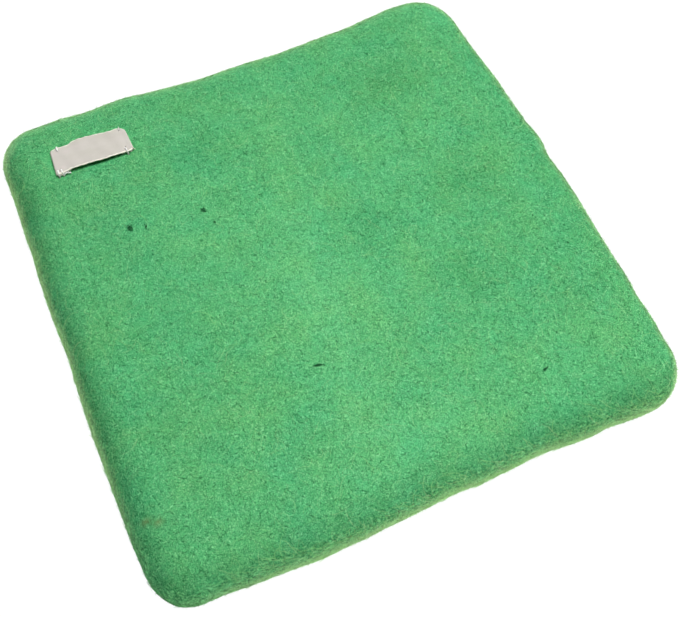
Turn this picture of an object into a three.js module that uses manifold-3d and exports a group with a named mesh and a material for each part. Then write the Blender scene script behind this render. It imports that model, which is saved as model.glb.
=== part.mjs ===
// Needle felting mat: a square pad of green felted wool with a fabric label sewn on near one corner.
// Millimetres, +Z up. The origin is the middle of the footprint, on the surface that the mat lies on.
// The label reads along +X and lies towards the back edge, +Y.

import * as THREE from 'three';
import { mergeVertices } from 'three/addons/utils/BufferGeometryUtils.js';
import Module from 'manifold-3d';

// Mat, measured at the seam plane half way up its sides
const MAT_WIDTH = 203.2;
const MAT_DEPTH = 208.6;
const MAT_THICKNESS = 24;
const CORNER_RADIUS = 17;
const LEAST_CORNER_RADIUS = 1;

// Hand-felted sides, counter-clockwise from the front: bow moves the middle of a side outwards,
// sway moves its first half outwards and its second half inwards
const SIDES = [
  { bow: 0.1, sway: 1.6 },
  { bow: 2.9, sway: -0.2 },
  { bow: -3.1, sway: -0.9 },
  { bow: 0.8, sway: -0.3 },
];

// Rounded edge: how far it reaches in from the side, and its fullness (1 is an ellipse, less is squarer)
const EDGE_REACH = 13;
const EDGE_POWER = 0.9;

// Felt skin and the batts of carded wool stacked inside it
const SKIN_THICKNESS = 3;
const BATT_COUNT = 5;

// Label: a ribbon with both ends folded under, and one corner rounded off
const LABEL_LENGTH = 31;
const LABEL_WIDTH = 12.7;
const LABEL_CLOTH = 0.4;
const LABEL_FOLD_GAP = 0.3;
const LABEL_TURN_UNDER = 5;
const LABEL_CORNER_ROUND = 3;
const LABEL_LEFT_MARGIN = 19.6;
const LABEL_BACK_MARGIN = 20.7;

// Stitches: thread size, bite inside the label's edge, reach beyond it, and felt left under each leg
const THREAD_DIAMETER = 0.5;
const STITCH_BITE = 1.6;
const STITCH_REACH = 0.7;
const STITCH_BEND = 0.5;
const STITCH_BED = 1.2;

// Where each stitch goes over the label's edge: its distance from the nearer end, and the sideways
// step from its hole in the label to its hole in the felt
const STITCHES = [
  { name: 'label_stitch_back_left', end: 'left', edge: 'back', fromEnd: 3.4, slant: 0.2 },
  { name: 'label_stitch_front_left_outer', end: 'left', edge: 'front', fromEnd: 1, slant: -0.3 },
  { name: 'label_stitch_front_left_inner', end: 'left', edge: 'front', fromEnd: 2.2, slant: 0.3 },
  { name: 'label_stitch_front_right', end: 'right', edge: 'front', fromEnd: 2.5, slant: 0.4 },
  { name: 'label_stitch_back_right', end: 'right', edge: 'back', fromEnd: 2.1, slant: 0.5 },
];

// Clearance between a piece and what it fits in
const FIT_GAP = 0.3;

// Facets
const SIDE_STEPS = 12;
const CORNER_STEPS = 6;
const EDGE_STEPS = 6;
const FOLD_STEPS = 5;
const THREAD_STEPS = 14;
const THREAD_SIDES = 8;

// Heights and sizes that follow from the values above
const SEAM_HEIGHT = MAT_THICKNESS / 2;
const BATT_THICKNESS = (MAT_THICKNESS - 2 * SKIN_THICKNESS) / BATT_COUNT;
const FOLD_HEIGHT = 2 * LABEL_CLOTH + LABEL_FOLD_GAP;
const STITCH_DEPTH = SKIN_THICKNESS - STITCH_BED;
const HOLE_RADIUS = THREAD_DIAMETER / 2 + FIT_GAP;

// Colour and roughness of each material
const GREEN_FELT = { color: 0x43a85c, roughness: 0.95 };
const RAW_WOOL = { color: 0xe9e2d2, roughness: 1 };
const RIBBON = { color: 0xd8cdc8, roughness: 0.8 };
const THREAD = { color: 0xf2efe9, roughness: 0.7 };

const wasm = await Module();
wasm.setup();

// A closed geometry as a solid that can be cut and joined.
function toSolid(geometry) {
  const bare = geometry.clone();
  bare.deleteAttribute('normal');
  bare.deleteAttribute('uv');
  const welded = mergeVertices(bare);
  const vertProperties = welded.getAttribute('position').array;
  const triVerts = new Uint32Array(welded.getIndex().array);
  return new wasm.Manifold(new wasm.Mesh({ numProp: 3, vertProperties, triVerts }));
}

// A solid's surface as a geometry again.
function toGeometry(solid) {
  const { vertProperties, triVerts } = solid.getMesh();
  const geometry = new THREE.BufferGeometry();
  geometry.setAttribute('position', new THREE.BufferAttribute(vertProperties, 3));
  geometry.setIndex(new THREE.BufferAttribute(triVerts, 1));
  return geometry;
}

// The geometry with every cutter taken away from it.
function cut(geometry, cutters) {
  return toGeometry(cutters.reduce((solid, cutter) => solid.subtract(toSolid(cutter)), toSolid(geometry)));
}

// How far a side stands out from its straight line at a share, 0 to 1, of its length.
function standOut(side, share) {
  const turn = 2 * Math.PI * share;
  const swell = (1 - Math.cos(turn)) / 2;
  return swell * (side.bow + side.sway * Math.sin(turn));
}

// The mat's outline at a height, drawn in by an inset: each side, then the round corner at its end.
function outlineRing(inset, height) {
  const radius = Math.max(CORNER_RADIUS - inset, LEAST_CORNER_RADIUS);
  const halfWidth = MAT_WIDTH / 2 - inset;
  const halfDepth = MAT_DEPTH / 2 - inset;
  const ring = [];
  SIDES.forEach((side, index) => {
    const direction = index * Math.PI / 2;
    const along = new THREE.Vector3(Math.cos(direction), Math.sin(direction), 0);
    const outwards = new THREE.Vector3(Math.sin(direction), -Math.cos(direction), 0);
    const reach = index % 2 === 0 ? halfDepth : halfWidth;
    const run = (index % 2 === 0 ? halfWidth : halfDepth) - radius;
    const point = (ahead, out) => new THREE.Vector3(0, 0, height)
      .addScaledVector(along, ahead)
      .addScaledVector(outwards, out);
    for (let step = 0; step <= SIDE_STEPS; step += 1) {
      const share = step / SIDE_STEPS;
      ring.push(point(run * (2 * share - 1), reach + standOut(side, share)));
    }
    for (let step = 1; step < CORNER_STEPS; step += 1) {
      const angle = Math.PI / 2 * step / CORNER_STEPS;
      ring.push(point(run + radius * Math.sin(angle), reach - radius * (1 - Math.cos(angle))));
    }
  });
  return ring;
}

// A closed body through a stack of rings with equal counts, capped by a fan at each end.
function loft(rings) {
  const count = rings[0].length;
  const last = (rings.length - 1) * count;
  const points = rings.flat();
  const middle = (ring) => ring.reduce((sum, p) => sum.add(p), new THREE.Vector3()).divideScalar(count);
  const startHub = points.push(middle(rings[0])) - 1;
  const endHub = points.push(middle(rings.at(-1))) - 1;
  const triangles = [];
  for (let i = 0; i < count; i += 1) {
    const next = (i + 1) % count;
    triangles.push(startHub, next, i);
    for (let base = 0; base < last; base += count) {
      triangles.push(base + i, base + next, base + count + next);
      triangles.push(base + i, base + count + next, base + count + i);
    }
    triangles.push(endHub, last + i, last + next);
  }
  const geometry = new THREE.BufferGeometry().setFromPoints(points);
  geometry.setIndex(triangles);
  return geometry;
}

// Inset and rise above the seam of the rounded edge, at an angle from the seam (0) to the flat face
// (a right angle), on a surface that lies a depth inside the felt.
function edgePoint(angle, depth) {
  const across = Math.cos(angle) ** EDGE_POWER;
  const up = Math.sin(angle) ** EDGE_POWER;
  return {
    inset: EDGE_REACH - (EDGE_REACH - depth) * across,
    rise: (SEAM_HEIGHT - depth) * up,
  };
}

// The rings of one half of the edge, from the seam to the flat face; facing is 1 for up, -1 for down.
function edgeRings(depth, facing) {
  return Array.from({ length: EDGE_STEPS + 1 }, (_, step) => {
    const { inset, rise } = edgePoint(Math.PI / 2 * step / EDGE_STEPS, depth);
    return outlineRing(inset, SEAM_HEIGHT + facing * rise);
  });
}

// Half of the felt skin, a shallow tray that meets the other half rim to rim at the seam.
function halfSkin(facing) {
  const outside = edgeRings(0, facing);
  const inside = edgeRings(SKIN_THICKNESS, facing);
  const upper = [...inside.reverse(), ...outside];
  return loft(facing > 0 ? upper : upper.reverse());
}

// Inset of the hollow's wall at a height.
function hollowInset(height) {
  const share = Math.min(Math.abs(height - SEAM_HEIGHT) / (SEAM_HEIGHT - SKIN_THICKNESS), 1);
  return edgePoint(Math.asin(share ** (1 / EDGE_POWER)), SKIN_THICKNESS).inset;
}

// One batt of carded wool, counted from the bottom, which fills the hollow from wall to wall.
function batt(index) {
  const bottom = SKIN_THICKNESS + index * BATT_THICKNESS;
  const heights = [bottom, bottom + BATT_THICKNESS];
  return loft(heights.map((height) => outlineRing(hollowInset(height) + FIT_GAP, height)));
}

// The label ribbon from its side, with its left end at x = 0 and the felt at y = 0.
function ribbonProfile() {
  const bend = FOLD_HEIGHT / 2;
  const quarter = Math.PI / 2;
  const shape = new THREE.Shape();
  shape.moveTo(LABEL_TURN_UNDER, 0);
  shape.lineTo(LABEL_TURN_UNDER, LABEL_CLOTH);
  shape.absarc(bend, bend, LABEL_FOLD_GAP / 2, -quarter, -3 * quarter, true);
  shape.absarc(LABEL_LENGTH - bend, bend, LABEL_FOLD_GAP / 2, quarter, -quarter, true);
  shape.lineTo(LABEL_LENGTH - LABEL_TURN_UNDER, LABEL_CLOTH);
  shape.lineTo(LABEL_LENGTH - LABEL_TURN_UNDER, 0);
  shape.absarc(LABEL_LENGTH - bend, bend, bend, -quarter, quarter, false);
  shape.absarc(bend, bend, bend, quarter, 3 * quarter, false);
  shape.closePath();
  return shape;
}

// What is rounded off the label's back right corner, wider and taller than the ribbon.
function cornerCutter() {
  const over = LABEL_CORNER_ROUND;
  const left = LABEL_LENGTH - LABEL_CORNER_ROUND;
  const front = LABEL_WIDTH - LABEL_CORNER_ROUND;
  const shape = new THREE.Shape();
  shape.absarc(left, front, LABEL_CORNER_ROUND, Math.PI / 2, 0, true);
  shape.lineTo(LABEL_LENGTH + over, front);
  shape.lineTo(LABEL_LENGTH + over, LABEL_WIDTH + over);
  shape.lineTo(left, LABEL_WIDTH + over);
  shape.closePath();
  const depth = FOLD_HEIGHT + 2 * over;
  return new THREE.ExtrudeGeometry(shape, { depth, bevelEnabled: false, curveSegments: FOLD_STEPS })
    .translate(0, 0, -over);
}

// The feet of a stitch on the label: where it goes down inside the edge, and where outside it.
function stitchFeet({ end, edge, fromEnd, slant }) {
  const x = end === 'left' ? fromEnd : LABEL_LENGTH - fromEnd;
  const y = edge === 'back' ? LABEL_WIDTH : 0;
  const outwards = edge === 'back' ? 1 : -1;
  return {
    inner: new THREE.Vector3(x, y - outwards * STITCH_BITE, 0),
    outer: new THREE.Vector3(x + slant, y + outwards * STITCH_REACH, 0),
  };
}

// A round hole for one leg of a stitch, between two heights.
function legHole(foot, bottom, top) {
  return new THREE.CylinderGeometry(HOLE_RADIUS, HOLE_RADIUS, top - bottom, THREAD_SIDES)
    .rotateX(Math.PI / 2)
    .translate(foot.x, foot.y, (top + bottom) / 2);
}

// A stitch: out of the label, over its edge and down into the felt, on softly bent corners.
function stitch(place) {
  const { inner, outer } = stitchFeet(place);
  const barHeight = FOLD_HEIGHT + FIT_GAP + THREAD_DIAMETER / 2;
  const at = (foot, height) => new THREE.Vector3(foot.x, foot.y, height);
  const inwards = outer.clone().sub(inner).setLength(STITCH_BEND);
  const bends = [
    [at(inner, barHeight - STITCH_BEND), at(inner, barHeight), at(inner, barHeight).add(inwards)],
    [at(outer, barHeight).sub(inwards), at(outer, barHeight), at(outer, barHeight - STITCH_BEND)],
  ];
  const path = new THREE.CurvePath();
  path.add(new THREE.LineCurve3(at(inner, -STITCH_DEPTH), bends[0][0]));
  path.add(new THREE.QuadraticBezierCurve3(...bends[0]));
  path.add(new THREE.LineCurve3(bends[0][2], bends[1][0]));
  path.add(new THREE.QuadraticBezierCurve3(...bends[1]));
  path.add(new THREE.LineCurve3(bends[1][2], at(outer, -STITCH_DEPTH)));
  const section = new THREE.Shape().absarc(0, 0, THREAD_DIAMETER / 2, 0, 2 * Math.PI, false);
  // A round section has two points for each curve segment
  const curveSegments = THREAD_SIDES / 2;
  return new THREE.ExtrudeGeometry(section, { extrudePath: path, steps: THREAD_STEPS, curveSegments });
}

// The label ribbon, with its rounded corner and a hole for each stitch.
function labelRibbon() {
  const ribbon = new THREE.ExtrudeGeometry(ribbonProfile(), {
    depth: LABEL_WIDTH,
    bevelEnabled: false,
    curveSegments: FOLD_STEPS,
  });
  ribbon.rotateX(Math.PI / 2).translate(0, LABEL_WIDTH, 0);
  const holes = STITCHES.map((place) => legHole(stitchFeet(place).inner, -FIT_GAP, FOLD_HEIGHT + FIT_GAP));
  return cut(ribbon, [cornerCutter(), ...holes]);
}

// The upper half of the skin, with a blind hole for each leg of each stitch.
function upperSkin(labelPlace) {
  const bottom = -STITCH_DEPTH - FIT_GAP;
  const holes = STITCHES.flatMap((place) => Object.values(stitchFeet(place)))
    .map((foot) => legHole(foot, bottom, FOLD_HEIGHT).translate(...labelPlace.toArray()));
  return cut(halfSkin(1), holes);
}

function addPart(parent, name, geometry, finish) {
  geometry.computeVertexNormals();
  const mesh = new THREE.Mesh(geometry, new THREE.MeshStandardMaterial({ ...finish, metalness: 0 }));
  mesh.name = name;
  parent.add(mesh);
}

const mat = new THREE.Group();
const label = new THREE.Group();
label.position.set(
  LABEL_LEFT_MARGIN - MAT_WIDTH / 2,
  MAT_DEPTH / 2 - LABEL_BACK_MARGIN - LABEL_WIDTH,
  MAT_THICKNESS,
);
mat.add(label);

addPart(mat, 'upper_felt_skin', upperSkin(label.position), GREEN_FELT);
addPart(mat, 'lower_felt_skin', halfSkin(-1), GREEN_FELT);
for (let index = 0; index < BATT_COUNT; index += 1) {
  addPart(mat, `core_batt_${index + 1}`, batt(index), RAW_WOOL);
}
addPart(label, 'label_ribbon', labelRibbon(), RIBBON);
STITCHES.forEach((place) => addPart(label, place.name, stitch(place), THREAD));

// The sides bow unevenly, so the whole mat moves until its footprint is centred on the origin
const middle = new THREE.Box3().setFromObject(mat).getCenter(new THREE.Vector3());
mat.position.set(-middle.x, -middle.y, 0);

export default mat;
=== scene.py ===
import math

import bpy
import numpy as np
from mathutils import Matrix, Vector, noise
from mathutils.bvhtree import BVHTree


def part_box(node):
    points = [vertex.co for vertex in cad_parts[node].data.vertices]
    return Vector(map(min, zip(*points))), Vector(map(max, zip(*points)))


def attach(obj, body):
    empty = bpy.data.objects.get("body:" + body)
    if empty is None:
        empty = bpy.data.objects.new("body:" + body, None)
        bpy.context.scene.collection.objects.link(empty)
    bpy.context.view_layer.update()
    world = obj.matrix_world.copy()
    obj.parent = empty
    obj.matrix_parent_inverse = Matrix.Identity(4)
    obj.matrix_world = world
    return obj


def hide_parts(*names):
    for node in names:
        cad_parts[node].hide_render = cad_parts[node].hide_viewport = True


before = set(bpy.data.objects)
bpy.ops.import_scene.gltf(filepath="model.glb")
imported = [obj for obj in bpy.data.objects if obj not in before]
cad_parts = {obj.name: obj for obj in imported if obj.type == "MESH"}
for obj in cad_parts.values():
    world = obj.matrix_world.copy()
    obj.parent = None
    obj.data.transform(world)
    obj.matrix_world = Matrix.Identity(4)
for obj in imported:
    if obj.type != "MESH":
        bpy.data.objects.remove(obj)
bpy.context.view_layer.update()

# Lengths are millimetres until a mesh is made, where MM turns them into metres
MM = 0.001

# Random draws: one seed for the mat, and one more for some kinds of strands
SEED = 20
LONG_SEED, FUZZ_SEED, SPECK_SEED, FRAY_SEED = 53, 31, 77, 5


def box_mm(node):
    """Lowest and highest corner of a CAD node, in millimetres."""
    low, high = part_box(node)
    return np.array(low) / MM, np.array(high) / MM


# Felt outline at the seam, as the CAD model has it: bow and sway of the front, right, back and left side
MAT_WIDTH, MAT_DEPTH = 203.2, 208.6
CORNER_RADIUS = 17.0
SIDES = ((0.1, 1.6), (2.9, -0.2), (-3.1, -0.9), (0.8, -0.3))
EDGE_REACH = 13.0
EDGE_POWER = 0.9
SKIN = 3.0
FIT_GAP = 0.3
SEAM_Z = box_mm("upper_felt_skin")[0][2]
TOP_Z = box_mm("upper_felt_skin")[1][2]

# Label as the CAD model has it: a ribbon with both ends turned under
LABEL_LOW, LABEL_HIGH = box_mm("label_ribbon")
LABEL_LENGTH, LABEL_WIDTH = (LABEL_HIGH - LABEL_LOW)[:2]
CLOTH = 0.4
FOLD_GAP = 0.3
TURN_UNDER = 5.0
CORNER_ROUND = 3.0

# Stitches: distance along the label, which long edge, and how far the outer foot slants along it
STITCHES = {
    "label_stitch_back_left": (3.4, 1, 0.2),
    "label_stitch_front_left_outer": (1.0, -1, -0.3),
    "label_stitch_front_left_inner": (2.2, -1, 0.3),
    "label_stitch_front_right": (28.5, -1, 0.4),
    "label_stitch_back_right": (28.9, 1, 0.5),
}
STITCH_BITE = 1.6
STITCH_REACH = 0.7


def stitch_feet(place, edge, slant):
    """Where a stitch goes through the label and where it enters the felt, seen from above."""
    line = LABEL_WIDTH if edge > 0 else 0.0
    inner = np.array([place, line - edge * STITCH_BITE])
    outer = np.array([place + slant, line + edge * STITCH_REACH])
    return inner + LABEL_LOW[:2], outer + LABEL_LOW[:2]


# Meshes

def new_object(name, points, faces, material, smooth=True):
    """A mesh object from points in millimetres."""
    mesh = bpy.data.meshes.new(name)
    mesh.from_pydata((np.asarray(points) * MM).tolist(), [], faces)
    mesh.update()
    mesh.polygons.foreach_set("use_smooth", np.full(len(mesh.polygons), smooth))
    mesh.materials.append(material)
    piece = bpy.data.objects.new(name, mesh)
    bpy.context.scene.collection.objects.link(piece)
    return piece


def points_of(piece):
    places = np.empty(len(piece.data.vertices) * 3, np.float32)
    piece.data.vertices.foreach_get("co", places)
    return places.reshape(-1, 3).astype(float) / MM


def bake_map(piece, places):
    """Gives a piece its own map for baked textures, with one place for each face corner."""
    layer = piece.data.uv_layers.new(name="OFBake")
    layer.data.foreach_set("uv", np.asarray(places, np.float32).ravel())


def band(lower, upper):
    """Quads between two rings of point numbers."""
    return np.stack([lower, np.roll(lower, -1), np.roll(upper, -1), upper], 1)


TINY = 1e-9


def unit(vectors):
    return vectors / np.maximum(np.linalg.norm(vectors, axis=-1, keepdims=True), TINY)


def even_path(path, count):
    """A path cut in even steps, and the lengths gone along it."""
    gone = np.concatenate([[0], np.cumsum(np.linalg.norm(np.diff(path, axis=0), axis=1))])
    even = np.linspace(0, gone[-1], count)
    return np.column_stack([np.interp(even, gone, part) for part in path.T]), even


def at_height(flat, height):
    """Places with one height added to each."""
    return np.column_stack([flat, np.full(len(flat), height)])


def smooth_step(values, start, end):
    share = np.clip((values - start) / (end - start), 0, 1)
    return share * share * (3 - 2 * share)


def eased(points, along):
    """Offsets at places along an edge, eased from one listed place to the next."""
    offsets = np.full(np.shape(along), float(points[0][1]))
    for (start, low), (end, high) in zip(points, points[1:]):
        offsets += (high - low) * smooth_step(np.asarray(along, float), start, end)
    return offsets


def noise_at(points, size):
    """Noise between about -1 and 1 at each point, with lumps of about a size or of three sizes."""
    return np.array([noise.noise(Vector(p)) for p in points / np.asarray(size)])


# Outline of the mat

# How far the hand-felted sides stand out from their even curves: places along each side and distances
FRONT_WOBBLE = (
    (-102, 0.8), (-96, 0.7), (-90, -0.2), (-84, -0.75), (-65, 0.1), (-48, 0.75), (-34, 0.05), (-18, -0.7),
    (4, -0.65), (16, 0.25), (25, 0.1), (40, -0.75), (56, 0.15), (66, -0.55), (78, 0.2), (96, 0.55),
    (102, 0.5),
)
RIGHT_WOBBLE = (
    (-102, -0.5), (-85, -0.4), (-75, 0.4), (-65, 0.05), (-54, 0.5), (-44, 0.1), (-30, -0.2), (-15, -0.1),
    (-5, -0.3), (6, -0.95), (15, 0.5), (25, -0.25), (35, -0.1), (52, 0.6), (75, 0.35), (85, 0.2),
    (95, -0.7), (102, -0.7),
)
BACK_WOBBLE = (
    (-102, 0.1), (-86, -0.45), (-75, -0.05), (-65, -0.7), (-46, 0.7), (-36, -0.1), (-15, -0.65), (5, 0.45),
    (25, -0.35), (36, -0.3), (55, -0.7), (65, -0.05), (76, 1.0), (86, 0.45), (96, 0.75), (102, 0.6),
)
LEFT_WOBBLE = (
    (-102, -0.9), (-95, -1.1), (-86, -0.65), (-74, -0.1), (-58, -0.05), (-36, 0.1), (-14, -0.4),
    (-2, -0.95), (20, -0.1), (36, 0.0), (46, -0.35), (56, -0.15), (76, -0.5), (102, 0.1),
)


def wobble(points, outs):
    """How far each point of a ring stands out, blended around the corners."""
    (x, y), (out_x, out_y) = points.T, outs.T
    sides = (
        (FRONT_WOBBLE, x, -out_y),
        (RIGHT_WOBBLE, y, out_x),
        (BACK_WOBBLE, x, out_y),
        (LEFT_WOBBLE, y, -out_x),
    )
    return sum(eased(places, along) * np.maximum(facing, 0) for places, along, facing in sides)


class Outline:
    """The mat's outline cut in a fixed number of cells, so that its rings match at every inset."""

    def __init__(self, cell, arc_cells):
        self.arc = arc_cells
        self.straight = [round((size - 2 * CORNER_RADIUS) / cell) for size in (MAT_WIDTH, MAT_DEPTH)]
        self.wide, self.deep = (count + 2 * arc_cells for count in self.straight)
        outer = self.even_ring(0.0)[0]
        self.middle = (outer.min(0) + outer.max(0)) / 2

    def ring(self, inset):
        """Points and outward directions of the outline at an inset, counter-clockwise from front left."""
        points, outs = self.even_ring(inset)
        points = points - self.middle
        return points + outs * wobble(points, outs)[:, None], outs

    def even_ring(self, inset):
        """The ring as the CAD model has it, before it is centred."""
        radius = CORNER_RADIUS - inset
        points, outs = [], []
        for index, (bow, sway) in enumerate(SIDES):
            turn = index * math.pi / 2
            along = np.array([math.cos(turn), math.sin(turn)])
            out = np.array([math.sin(turn), -math.cos(turn)])
            run = (MAT_WIDTH, MAT_DEPTH)[index % 2] / 2 - CORNER_RADIUS
            reach = (MAT_DEPTH, MAT_WIDTH)[index % 2] / 2 - CORNER_RADIUS
            share = np.linspace(0, 1, self.straight[index % 2] + 1)
            swell = (1 - np.cos(2 * math.pi * share)) / 2
            stand_out = swell * (bow + sway * np.sin(2 * math.pi * share))
            before = np.linspace(-math.pi / 4, 0, self.arc, endpoint=False)
            after = np.linspace(0, math.pi / 4, self.arc, endpoint=False)[1:]
            for angles, end in ((before, -run), (after, run)):
                away = np.outer(np.cos(angles), out) + np.outer(np.sin(angles), along)
                points.append(end * along + reach * out + radius * away)
                outs.append(away)
            middle = np.outer(run * (2 * share - 1), along) + np.outer(reach + radius + stand_out, out)
            points.insert(-1, middle)
            outs.insert(-1, np.tile(out, (len(share), 1)))
        return np.concatenate(points), np.concatenate(outs)

    def grid(self, border):
        """A grid of points inside a ring, blended from the ring's four sides."""
        wide, deep = self.wide, self.deep
        front, right = border[:wide + 1], border[wide:wide + deep + 1]
        back = border[wide + deep:2 * wide + deep + 1][::-1]
        left = np.concatenate([border[2 * wide + deep:], border[:1]])[::-1]
        u = ((front[:, 0] - front[0, 0]) / np.ptp(front[:, 0]))[:, None, None]
        v = ((right[:, 1] - right[0, 1]) / np.ptp(right[:, 1]))[None, :, None]
        grid = (1 - v) * front[:, None] + v * back[:, None] + (1 - u) * left[None] + u * right[None]
        grid -= (1 - u) * ((1 - v) * front[0] + v * back[0]) + u * ((1 - v) * front[-1] + v * back[-1])
        return grid.reshape(-1, 2)

    def numbers(self, first=0):
        return first + np.arange((self.wide + 1) * (self.deep + 1)).reshape(self.wide + 1, self.deep + 1)

    def grid_border(self, first=0):
        """Numbers of the grid's border points, in the order of the ring."""
        number = self.numbers(first)
        return np.concatenate([number[:-1, 0], number[-1, :-1], number[:0:-1, -1], number[0, :0:-1]])

    def grid_cells(self, first=0):
        number = self.numbers(first)
        corners = [number[:-1, :-1], number[1:, :-1], number[1:, 1:], number[:-1, 1:]]
        return np.stack(corners, -1).reshape(-1, 4)


PROFILE_POINTS = 400


def edge_profile(depth, count):
    """Insets and rises over the seam of the rounded edge, and the lengths gone, from the face outwards."""
    angle = np.linspace(math.pi / 2, 0, PROFILE_POINTS)
    inset = EDGE_REACH - (EDGE_REACH - depth) * np.cos(angle) ** EDGE_POWER
    rise = (SEAM_Z - depth) * np.sin(angle) ** EDGE_POWER
    return even_path(np.column_stack([inset, rise]), count + 1)


# Felt skins

FELT_OUTLINE = Outline(0.85, 9)
ROLL_RINGS = 26
INNER_RINGS = 6
RELIEF = ((34.0, 0.20), (11.0, 0.10), (3.0, 0.09))
LABEL_BED, LABEL_BED_EDGE = 0.15, (0.3, 6.0)
GROOVE, GROOVE_SIZE, GROOVE_PLACE = 0.5, 0.7, 0.4
GROOVE_START, GROOVE_END = (3.0, 8.0), (1.0, 4.0)
STITCH_DENT, STITCH_DENT_SIZE = 0.55, 0.9
MAP_MARGIN = 1.04
HIDDEN_MAP_SIZE, HIDDEN_MAP_PLACE = 0.02, 0.012


def relief(points, facing):
    """Height of the hand-felted surface over its plain form: swells and nap, flat under the label."""
    heights = sum(height * noise_at(points, size) for size, height in RELIEF)
    if facing < 0:
        return heights
    past = np.maximum(LABEL_LOW[:2] - points[:, :2], points[:, :2] - LABEL_HIGH[:2])
    away = np.hypot(*np.maximum(past, 0).T)
    free = smooth_step(away, *LABEL_BED_EDGE)
    heights = heights * free - LABEL_BED * (1 - free)
    beside = smooth_step(points[:, 0] - LABEL_LOW[0], *GROOVE_START)
    beside *= smooth_step(LABEL_HIGH[0] - points[:, 0], *GROOVE_END)
    from_groove = points[:, 1] - LABEL_LOW[1] - GROOVE_PLACE
    heights -= GROOVE * beside * np.exp(-(from_groove / GROOVE_SIZE) ** 2)
    for place in STITCHES.values():
        foot = stitch_feet(*place)[1]
        distance = np.hypot(*(points[:, :2] - foot).T)
        heights -= STITCH_DENT * np.exp(-(distance / STITCH_DENT_SIZE) ** 2)
    return heights


def felt_half(name, facing, material):
    """One half of the felt skin: a displaced outer face, a rim at the seam and a plain inner face."""
    outline = FELT_OUTLINE
    profile, gone = edge_profile(0.0, ROLL_RINGS)
    slopes = np.gradient(profile, axis=0)
    slopes[-1] = (0, -1)
    border, outs = outline.ring(EDGE_REACH)
    flat = outline.grid(border)
    points = [at_height(flat, SEAM_Z + facing * profile[0, 1])]
    normals = [at_height(0 * flat, facing)]
    spread = [flat]
    rings = [outline.grid_border()]
    count = len(flat)
    for (inset, rise), slope, length in list(zip(profile, slopes, gone))[1:]:
        around, out = outline.ring(inset)
        tilt = slope / np.hypot(*slope)
        points.append(at_height(around, SEAM_Z + facing * rise))
        normals.append(at_height(-tilt[1] * out, -facing * tilt[0]))
        spread.append(border + outs * length)
        rings.append(np.arange(count, count + len(around)))
        count += len(around)
    points, normals, spread = map(np.concatenate, (points, normals, spread))
    points += normals * relief(points, facing)[:, None]
    points[:, 2] = np.maximum(points[:, 2], 0)
    outer = [outline.grid_cells()] + [band(low, high) for low, high in zip(rings[1:], rings)]
    inner_points, inner_rings = [], [rings[-1]]
    for inset, rise in edge_profile(SKIN, INNER_RINGS)[0][::-1]:
        around = outline.ring(inset)[0]
        inner_points.append(at_height(around, SEAM_Z + facing * rise))
        inner_rings.append(np.arange(count, count + len(around)))
        count += len(around)
    inner = [band(high, low) for low, high in zip(inner_rings, inner_rings[1:])]
    outer, inner, ceiling = np.concatenate(outer), np.concatenate(inner), inner_rings[-1][::-1]
    if facing < 0:
        outer, inner, ceiling = outer[:, ::-1], inner[:, ::-1], ceiling[::-1]
    every_point = np.concatenate([points] + inner_points)
    skin = new_object(name, every_point, outer.tolist() + inner.tolist() + [ceiling.tolist()], material)
    skin.data.polygons.foreach_set("use_smooth", np.arange(len(outer) + len(inner) + 1) < len(outer))
    size = 2 * np.abs(spread).max() * MAP_MARGIN
    outside = spread[outer.ravel()] / size + 0.5
    hidden = every_point[np.concatenate([inner.ravel(), ceiling])][:, :2] / size
    bake_map(skin, np.concatenate([outside, hidden * HIDDEN_MAP_SIZE + HIDDEN_MAP_PLACE]))
    return skin, outer


# Materials

def linear(red, green, blue):
    """A colour given as 0 to 255 on screen, as Blender's linear values."""
    parts = np.array([red, green, blue]) / 255
    values = np.where(parts <= 0.04045, parts / 12.92, ((parts + 0.055) / 1.055) ** 2.4)
    return (*values.tolist(), 1.0)


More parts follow.
